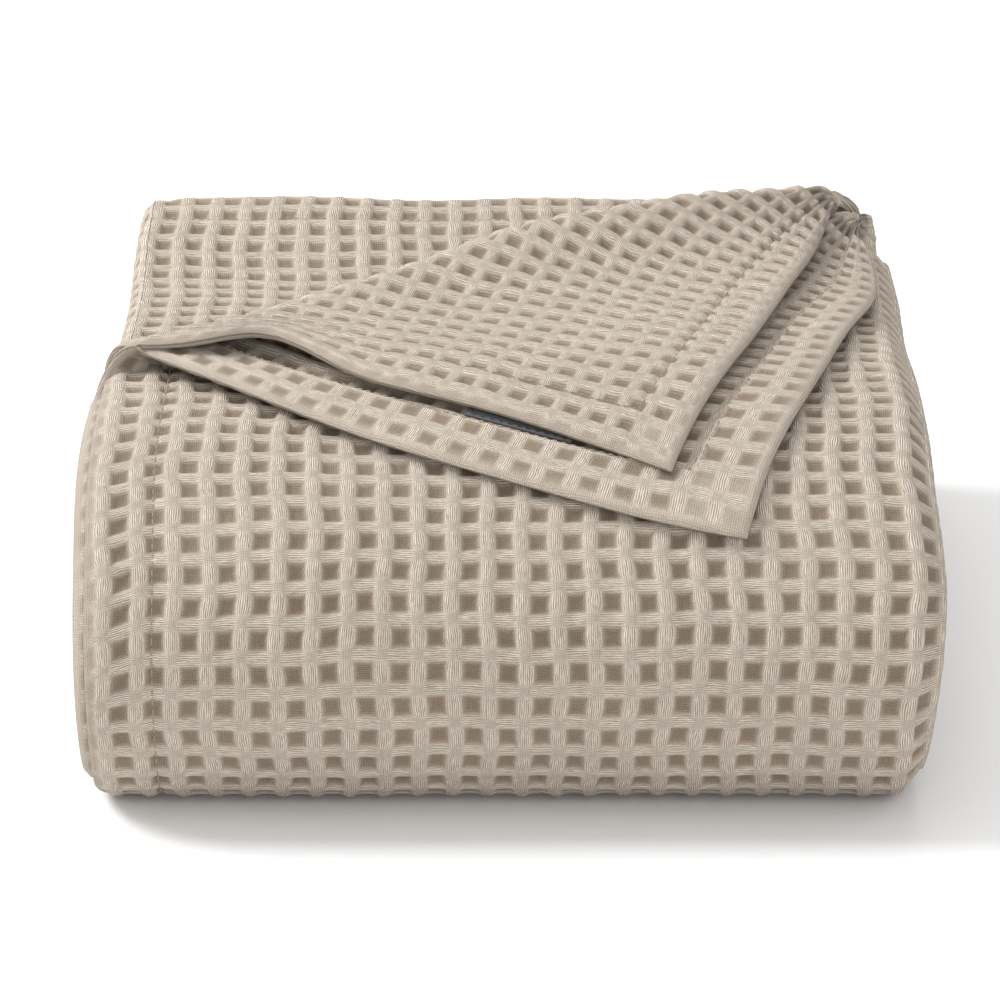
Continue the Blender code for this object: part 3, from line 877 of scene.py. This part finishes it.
SECOND_HEM_OUT = 0.0005
OUTER = TurnedPly(
    OUTER_HEM_X, OUTER_DEPTH, OUTER_END_Y, RETURN_END_Y[0], fold_depth=FOURTH_DEPTH,
    ends=((0, 0.088, -0.180), (0.076, 0.113, -0.108), (0.161, 0.133, -0.025), (0.223, 0.150, 0.034),
          (0.272, 0.150, 0.083), (0.301, 0.147, 0.115), (0.345, 0.146, 0.150)),
    rest=HALF + 0.0006, roll_out=(0.0045, 0.0075, 0.0075), roll_up=(0.0045, 0.0070, 0.0070),
    bow=(-0.020, -0.034), drag=0.010,
)
SECOND = TurnedPly(
    SECOND_HEM_X - SECOND_HEM_OUT, SECOND_DEPTH, OUTER_END_Y, RETURN_END_Y[1], fold_depth=THIRD_DEPTH,
    ends=((0, 0.062, -0.157), (0.080, 0.088, -0.080), (0.160, 0.108, -0.005), (0.230, 0.124, 0.065),
          (0.280, 0.134, 0.112), (0.310, 0.140, 0.140), (0.330, 0.142, 0.150)),
    rest=0.0125, roll_out=(0.009, 0.0135, 0.0125), roll_up=(0.0114, 0.0203, 0.0185),
    bow=(0.001, 0.012), shift=0.010, arch=0.026,
)
THIRD = Ply(LEFT_FOLD_X, THIRD_DEPTH, INNER_END_Y, RETURN_END_Y[2], raise_end=THIRD_RAISE)
FOURTH = LeftFoldPly(FOURTH_DEPTH, THIRD_DEPTH, INNER_END_Y, RETURN_END_Y[3])

ROW_STATION = 1.907  # where a row of pits lies on the front roll
ROW_V = float(OUTER.track.length(ROW_STATION))
INNER_ROW_V = 2.6 * CELL
INNER_COLUMN_U = 0.0073
OUTER_CLOTH = Cloth(OUTER, 1, 0.0, ROW_V, hem_left=True)
SECOND_CLOTH = Cloth(SECOND, -1, 0.0, ROW_V, hem_left=True)
THIRD_CLOTH = Cloth(THIRD, 1, INNER_COLUMN_U, INNER_ROW_V)
FOURTH_CLOTH = Cloth(FOURTH, 1, FOURTH.width + INNER_COLUMN_U, INNER_ROW_V)
SEAM_BLOCK = 2
SEAM_MARGIN = 0.0012  # how far in front of the crease the turned corner's piece begins
CREASE_MARGIN = 0.004  # how far past the crease each piece's grid reaches
MAP_TOP = 0.97


def in_corner(ply):
    return lambda u, v: v < ply.crease_v(u) + SEAM_MARGIN


def in_stack(ply):
    return lambda u, v: v >= ply.crease_v(u) + SEAM_MARGIN


def map_areas(right_start, right_end, wrong_start, wrong_end):
    """Areas of the baked map for the right and the wrong side, from where they start and end across it."""
    return (right_start, 0, right_end, MAP_TOP), (wrong_start, 0, wrong_end, MAP_TOP)


def finish_cloth(builder, name, nodes):
    obj = builder.make(name, COTTON)
    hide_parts(*nodes)
    return obj


def stack_piece(name, cloth, keep, across, patches, nodes):
    """A ply of the stack from patches of (start, end, fineness across, fineness along, block, map areas).

    keep belongs to the first patch, which the crease crosses.
    """
    builder = Builder()
    first, last = patches[0][0], patches[-1][1]
    for start, end, fine_u, fine_v, block, areas in patches:
        hems = {"low_u"} if cloth.hem_left else set()
        if start == 0.0:
            hems.add("low_v")
        if end == last:
            hems.add("high_v")
        us, vs = across(fine_u, block), grid(start, end, fine_v, block)
        add_shell(builder, cloth, us, vs, block, keep if start == first else None, False, *areas, hems)
    obj = finish_cloth(builder, name, nodes)
    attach(obj, "folded_stack")


def even_columns(ply):
    return lambda fine, block: grid(0.0, ply.width, fine, block)


def stack_start(ply):
    """The first whole row of a turned ply's stack piece, at the right end of its crease."""
    return math.floor((ply.crease_v(ply.flat_width) - CREASE_MARGIN) / CELL) * CELL


def build_outer_ply():
    stations = (UNDER_FRONT, UNDER_BACK, TURN_END)
    front, back, turned = (OUTER.track.length(station) for station in stations)
    patches = (
        (stack_start(OUTER), front, FINE, FINE, SEAM_BLOCK, map_areas(0, 0.56, 0.57, 0.66)),
        (front, back, FINE // 2, FINE // 2, 3, map_areas(0.67, 0.78, 0.785, 0.80)),
        (back, turned, FINE, FINE, 6, map_areas(0.81, 0.90, 0.905, 0.92)),
        (turned, OUTER.track.total, FINE // 3, FINE // 3, 2, map_areas(0.93, 0.97, 0.975, 0.995)),
    )
    nodes = ("outer_ply", "right_outer_fold")
    stack_piece("outer_ply_cloth", OUTER_CLOTH, in_stack(OUTER), even_columns(OUTER), patches, nodes)


def build_second_ply():
    front = SECOND.track.length(UNDER_FRONT)
    patches = (
        (stack_start(SECOND), front, FINE // 2, FINE // 2, 1, map_areas(0, 0.4, 0.41, 0.6)),
        (front, SECOND.track.total, 4, 5, 1, map_areas(0.61, 0.8, 0.81, 0.99)),
    )
    nodes = ("second_ply", "right_inner_fold")
    stack_piece("second_ply_cloth", SECOND_CLOTH, in_stack(SECOND), even_columns(SECOND), patches, nodes)


def build_third_ply():
    front = THIRD.track.length(TOP_FRONT)
    patches = (
        (0.0, front, FINE, FINE, 4, map_areas(0, 0.6, 0.61, 0.7)),
        (front, THIRD.track.total, 4, 5, 1, map_areas(0.71, 0.85, 0.86, 0.99)),
    )
    stack_piece("third_ply_cloth", THIRD_CLOTH, None, even_columns(THIRD), patches, ("third_ply",))


def fold_columns(fine, block):
    """Coarse steps inside the stack and fine ones round the left fold."""
    near = FOURTH.flat_width - CELL
    return np.concatenate((grid(0.0, near, fine / 3, block)[:-1], grid(near, FOURTH.width, fine, block)))


def build_fourth_ply():
    patches = ((0.0, FOURTH.track.total, FINE, 8, 2, map_areas(0, 0.7, 0.71, 0.99)),)
    stack_piece("fourth_ply_cloth", FOURTH_CLOTH, None, fold_columns, patches, ("fourth_ply", "left_fold"))


# Heights of a zone at each crease between the stack and the corner, and how that zone leans; build_corner
# works out a direction from them, but nothing is bent
INNER_BEND, OUTER_BEND = (0.1356, 0.1405), (0.1275, 0.1430)
BEND_LEAN = 0.30


def build_corner(name, cloth, nodes, bend):
    """The turned-back part of a ply, with its crease roll."""
    ply = cloth.ply
    builder = Builder()
    end = math.ceil((ply.crease_v(0.0) + CREASE_MARGIN) / CELL) * CELL
    us, vs = grid(0.0, ply.width, FINE, SEAM_BLOCK), grid(0.0, end, FINE, SEAM_BLOCK)
    areas = map_areas(0, 0.49, 0.5, 0.99)
    add_shell(builder, cloth, us, vs, 1, in_corner(ply), True, *areas, {"low_u", "low_v"})
    obj = finish_cloth(builder, name, nodes)
    low, high = bend
    direction = np.array((-OUT[0] * BEND_LEAN, -OUT[1] * BEND_LEAN, 1.0))
    direction *= (high - low) / (direction @ direction)
    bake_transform(obj)


# Thread

THREAD_RADIUS = 0.00026
STITCH_PITCH, STITCH_LENGTH = 0.0038, 0.0029
STITCH_RINGS, STITCH_SIDES = 7, 8
LINE_SAMPLES = 400
STITCH_TWIST = 3
STITCH_RISE, STITCH_SINK, STITCH_ROUNDNESS = 0.0006, 0.0003, 0.6
THINNEST_END = 0.08
RIGHT_SINK, WRONG_CLEARANCE = 0.0002, 0.0004


def stitch_tubes(cloth, line, right_side, lift):
    """Points (stitch, ring, side) of the stitches along line(t), and each ring's place, from -0.5 to 0.5."""
    t = np.linspace(0, 1, LINE_SAMPLES)
    steps = np.linalg.norm(np.diff(cloth.ply.place(*line(t)), axis=0), axis=1)
    lengths = np.concatenate(([0.0], np.cumsum(steps)))
    centres = (np.arange(int(lengths[-1] / STITCH_PITCH)) + 0.5) * STITCH_PITCH
    along = np.linspace(-0.5, 0.5, STITCH_RINGS)
    u, v = line(np.interp(centres[:, None] + along * STITCH_LENGTH, lengths, t))
    normal = normals_of(cloth.ply.place, u, v, cloth.side if right_side else -cloth.side)
    above = HALF_SHEET - RIGHT_SINK if right_side else HALF_SHEET + HEM_EXTRA + WRONG_CLEARANCE
    surface = cloth.ply.place(u, v) + normal * (above + lift)
    ahead = np.gradient(surface, axis=1)
    ahead /= np.linalg.norm(ahead, axis=-1, keepdims=True)
    across = np.cross(normal, ahead)
    hump = np.cos(np.pi * along)[None, :, None] ** STITCH_ROUNDNESS
    centre = surface + normal * (STITCH_RISE * hump - STITCH_SINK)
    radius = THREAD_RADIUS * np.sqrt(np.clip(1 - (2 * np.abs(along)) ** 4, THINNEST_END, 1))
    turn = np.arange(STITCH_SIDES)[:, None] / STITCH_SIDES * FULL_TURN
    circle = across[:, :, None, :] * np.cos(turn) + normal[:, :, None, :] * np.sin(turn)
    return centre[:, :, None, :] + circle * radius[:, None, None], along


def add_stitches(name, cloth, line, right_side, nodes, body="turned_corner", material=THREAD, lift=0.0):
    """Separate stitches along line(t), t from 0 to 1, which gives (u, v) on the cloth."""
    tubes, along = stitch_tubes(cloth, line, right_side, lift)
    builder = Builder()
    ring = np.arange(STITCH_SIDES)
    following = (ring + 1) % STITCH_SIDES
    facts = np.zeros((STITCH_RINGS, STITCH_SIDES, 3))
    facts[..., 0] = along[:, None] * STITCH_TWIST
    facts[..., 1] = ring / STITCH_SIDES
    for k, points in enumerate(tubes):
        index = builder.add_points(points, facts, facts)
        near, far = index[:-1], index[1:]
        corners = np.stack((near, near[:, following], far[:, following], far), axis=-1).reshape(-1, 4)
        x, width = (k + 0.5) / len(tubes), 0.4 / len(tubes)
        area = np.array([[x - width, 0], [x + width, 0], [x + width, 1], [x - width, 1]])
        builder.add_faces(corners, np.tile(area, (len(corners), 1, 1)))
        for cap in (index[0][::-1], index[-1]):
            builder.add_faces(cap[None, :], np.tile([[x, 0.5]], (1, STITCH_SIDES, 1)))
    obj = builder.make(name, material)
    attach(obj, body)
    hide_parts(*nodes)


def along_side(u, start, end):
    return lambda t: (u + 0 * t, mix(start, end, t))


def along_end(v, start, end):
    return lambda t: (mix(start, end, t), v + 0 * t)


# Where the seams end short of a crease or a fold
SEAM_START, SEAM_END_STATION = 0.006, 2.9
END_SEAM_INSET = 0.004
LOWER_FLAP_SHORT, UPPER_FLAP_SHORT, FLAP_END_REACH = 0.034, 0.075, 0.262
WRONG_SEAM_IN = 0.001  # on the wrong side, the seam lies on the hem's layers


def build_seams():
    side = along_side(HEM, OUTER.crease_v(HEM) + SEAM_START, float(OUTER.track.length(SEAM_END_STATION)))
    back = along_end(HEM, END_SEAM_INSET, THIRD.flat_width - END_SEAM_INSET)
    add_stitches("side_hem_thread", OUTER_CLOTH, side, True, ("side_hem_stitching",), "folded_stack")
    add_stitches("end_hem_thread", THIRD_CLOTH, back, True, ("end_hem_stitching",), "folded_stack")
    inside = HEM - WRONG_SEAM_IN
    lower_side = along_side(inside, HEM, OUTER.crease_v(HEM) - LOWER_FLAP_SHORT)
    upper_side = along_side(HEM, HEM, SECOND.crease_v(HEM) - UPPER_FLAP_SHORT)
    seams = (
        ("lower_flap_side", OUTER_CLOTH, lower_side, False),
        ("lower_flap_end", OUTER_CLOTH, along_end(inside, HEM, FLAP_END_REACH), False),
        ("upper_flap_side", SECOND_CLOTH, upper_side, True),
        ("upper_flap_end", SECOND_CLOTH, along_end(HEM, HEM, FLAP_END_REACH), True),
    )
    for name, cloth, line, right_side in seams:
        add_stitches(f"{name}_thread", cloth, line, right_side, (f"{name}_stitching",))


LABEL_WIDTH, LABEL_LENGTH = 0.028, 0.044
LABEL_U, LABEL_V = HEM + 0.0015, 0.072  # its corner on the lower flap
LABEL_LIFT = HALF + 0.0006
LABEL_THICKNESS = 0.0007
LABEL_CURL = 0.0009
LABEL_COLUMNS, LABEL_ROWS = 29, 45
LABEL_SEAM_IN, LABEL_SEAM_SHORT = 0.0012, 0.001
LABEL_MAP_SIZE, LABEL_MAP_STEP = (0.47, 0.95), (0.5, 0)  # of its two sides in the baked map


def build_label():
    """The woven label, held on the wrong side of the lower flap along the hem's seam."""
    us = np.linspace(LABEL_U, LABEL_U + LABEL_WIDTH, LABEL_COLUMNS)
    vs = np.linspace(LABEL_V, LABEL_V + LABEL_LENGTH, LABEL_ROWS)
    u, v = np.meshgrid(us, vs, indexing="ij")
    across, along = (u - us[0]) / LABEL_WIDTH, (v - vs[0]) / LABEL_LENGTH
    normal = normals_of(OUTER.place, u, v, -1)
    curl = LABEL_CURL * np.sin(9 * along + 1) * across
    low = OUTER.place(u, v) + normal * (LABEL_LIFT + curl)[..., None]
    high = low + normal * LABEL_THICKNESS
    from_edge_mm = np.minimum.reduce((u - us[0], us[-1] - u, v - vs[0], vs[-1] - v)) * 1000
    facts = np.stack((from_edge_mm,) * 3, axis=-1)
    cells = np.stack((u / CELL, v / CELL, 0 * u), axis=-1)
    builder = Builder()
    high_i, low_i = builder.add_points(high, facts, cells), builder.add_points(low, facts, cells)
    place = np.stack((across, along), axis=-1).reshape(-1, 2) * LABEL_MAP_SIZE
    faces = quads(high_i).reshape(-1, 4)
    builder.add_faces(faces, place[faces - high_i[0, 0]])
    faces = quads(low_i).reshape(-1, 4)[:, ::-1]
    builder.add_faces(faces, place[faces - low_i[0, 0]] + LABEL_MAP_STEP)
    whole = np.ones((len(us) - 1, len(vs) - 1), bool)
    add_rims(builder, high_i, low_i, whole, 1, False, (0, 0, 0.99, 0.96), set())
    obj = builder.make("woven_label_tape", LABEL)
    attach(obj, "turned_corner")
    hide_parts("woven_label")


def build_label_stitches():
    start, end = LABEL_V + LABEL_SEAM_SHORT, LABEL_V + LABEL_LENGTH - LABEL_SEAM_SHORT
    line = along_side(LABEL_U + LABEL_SEAM_IN, start, end)
    above_hem = LABEL_LIFT + LABEL_THICKNESS - HALF_SHEET - HEM_EXTRA - STITCH_RISE
    nodes = ("label_stitching",)
    add_stitches("label_thread_run", OUTER_CLOTH, line, False, nodes, material=LABEL_THREAD, lift=above_hem)


# Stage

FLOOR_SIZE, FLOOR_DROP = 8.0, 0.0002
WORLD_STRENGTH = 0.70
LIGHTS = (  # name, place, size and power
    ("key", (-1.3, 0.25, 1.35), 0.8, 34.0),
    ("top", (0.1, 0.5, 1.9), 1.2, 9.0),
    ("front", (0.2, -2.1, 0.9), 1.2, 17.0),
)
LIGHT_AIM = (0.0, 0.0, 0.06)
CAMERA_LENS, CAMERA_SENSOR = 198.6, 36.0
CAMERA_ELEVATION = math.radians(18.85)
CAMERA_DISTANCE = 2.023
CAMERA_AIM = (-0.003, Y_FRONT - 0.0008, 0.1333)


def build_stage():
    mesh = bpy.data.meshes.new("floor")
    corners = [(x * FLOOR_SIZE, y * FLOOR_SIZE, 0) for x, y in ((-1, -1), (1, -1), (1, 1), (-1, 1))]
    mesh.from_pydata(corners, [], [(0, 1, 2, 3)])
    mesh.materials.append(floor_material())
    add_to_scene("floor", mesh, (0.0, 0.0, -FLOOR_DROP))
    world = bpy.data.worlds.new("studio")
    world.use_nodes = True
    background = world.node_tree.nodes["Background"]
    background.inputs["Color"].default_value = (1.0, 1.0, 1.0, 1.0)
    background.inputs["Strength"].default_value = WORLD_STRENGTH
    bpy.context.scene.world = world
    for name, place, size, power in LIGHTS:
        add_light(name, place, size, power)


def add_light(name, place, size, power):
    data = bpy.data.lights.new(name, "AREA")
    data.shape = "SQUARE"
    data.size = size
    data.energy = power
    light = add_to_scene(name, data, place)
    light.rotation_mode = "QUATERNION"
    light.rotation_quaternion = (Vector(LIGHT_AIM) - Vector(place)).to_track_quat("-Z", "Y")


def build_camera():
    data = bpy.data.cameras.new("camera")
    data.lens = CAMERA_LENS
    data.sensor_width = CAMERA_SENSOR
    data.clip_end = 50.0
    back = CAMERA_DISTANCE * math.cos(CAMERA_ELEVATION)
    up = CAMERA_DISTANCE * math.sin(CAMERA_ELEVATION)
    place = (CAMERA_AIM[0], CAMERA_AIM[1] - back, CAMERA_AIM[2] + up)
    camera = add_to_scene("camera", data, place)
    camera.rotation_euler = (math.pi / 2 - CAMERA_ELEVATION, 0.0, 0.0)
    bpy.context.scene.camera = camera


def main():
    build_outer_ply()
    build_second_ply()
    build_third_ply()
    build_fourth_ply()
    build_corner("lower_flap_cloth", OUTER_CLOTH, ("lower_flap", "inner_crease"), INNER_BEND)
    build_corner("upper_flap_cloth", SECOND_CLOTH, ("upper_flap", "outer_crease"), OUTER_BEND)
    build_seams()
    build_label()
    build_label_stitches()
    build_stage()
    build_camera()
    bpy.context.scene.view_settings.view_transform = "Standard"


main()
